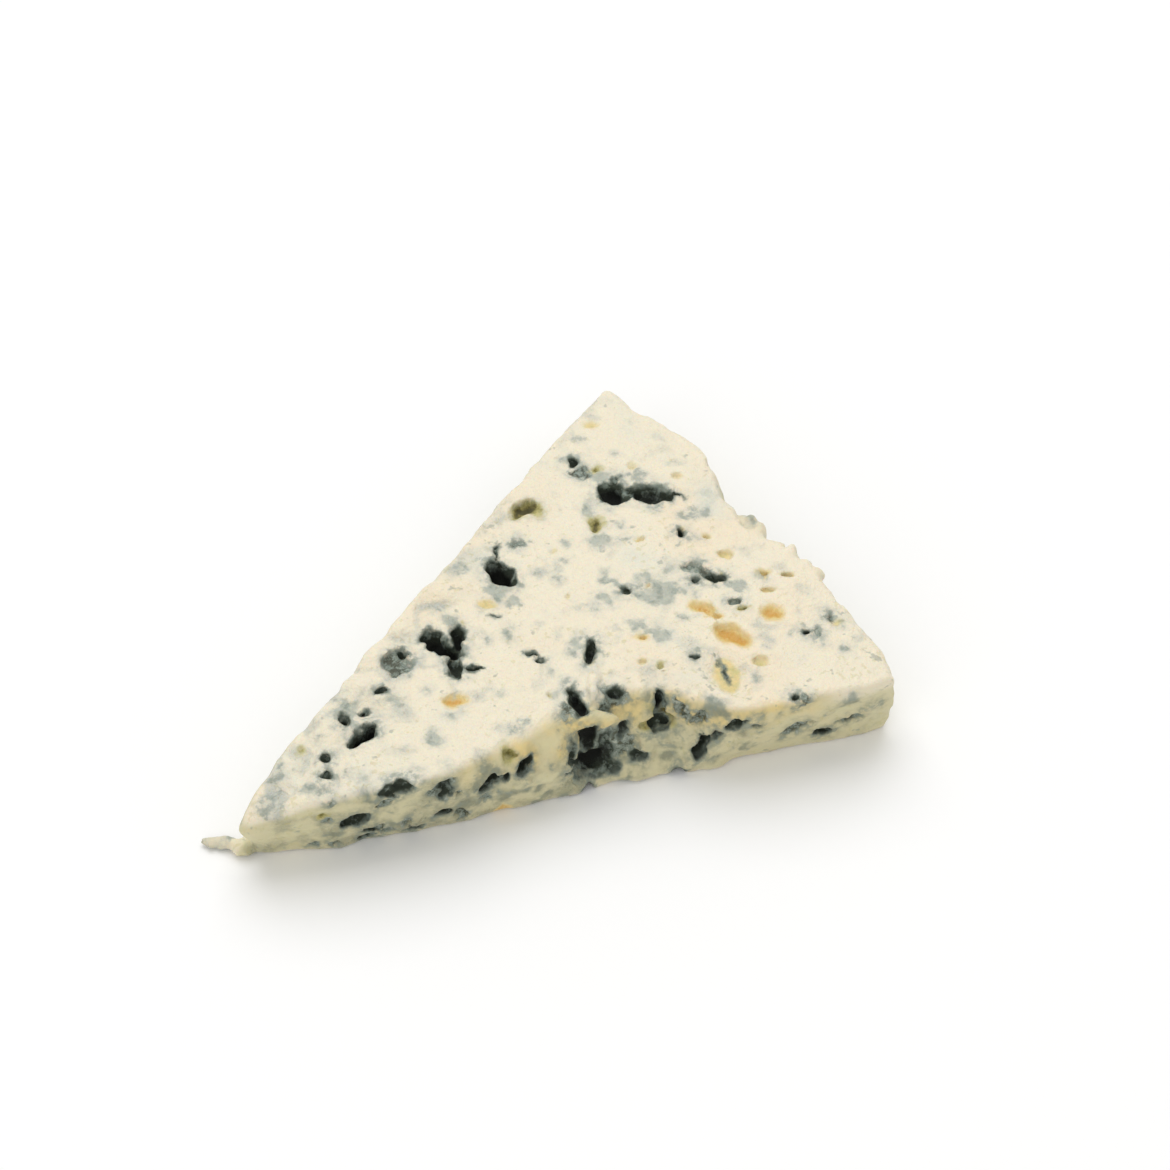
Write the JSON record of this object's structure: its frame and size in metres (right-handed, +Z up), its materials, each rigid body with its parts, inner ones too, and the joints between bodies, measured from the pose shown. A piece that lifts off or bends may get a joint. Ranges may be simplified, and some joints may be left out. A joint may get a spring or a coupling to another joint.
{
  "type": "blue cheese wedge",
  "caption": "Flat wedge of blue-veined cheese cut from a round wheel, with a worn blunt tip, a curved outer side, a broken notch in one cut side and open mould pockets.",
  "frame": {"origin": "under the middle of the wedge's box, on the surface that it lies on", "axes": "+X from the tip to the curved outer side, along the wedge's middle line; +Y towards the straight far side; +Z up, out of the top cut face"},
  "size_m": [0.0976, 0.066, 0.0143],
  "materials": {
    "cheese_paste": "moist cream-coloured cheese paste, smeared smooth on the cut faces and crumbly at its edges, with grey-blue to black mould in its hollows and veins"
  },
  "bodies": {
    "root": {"blue_cheese_wedge": "cheese_paste"}
  },
  "joints": []
}
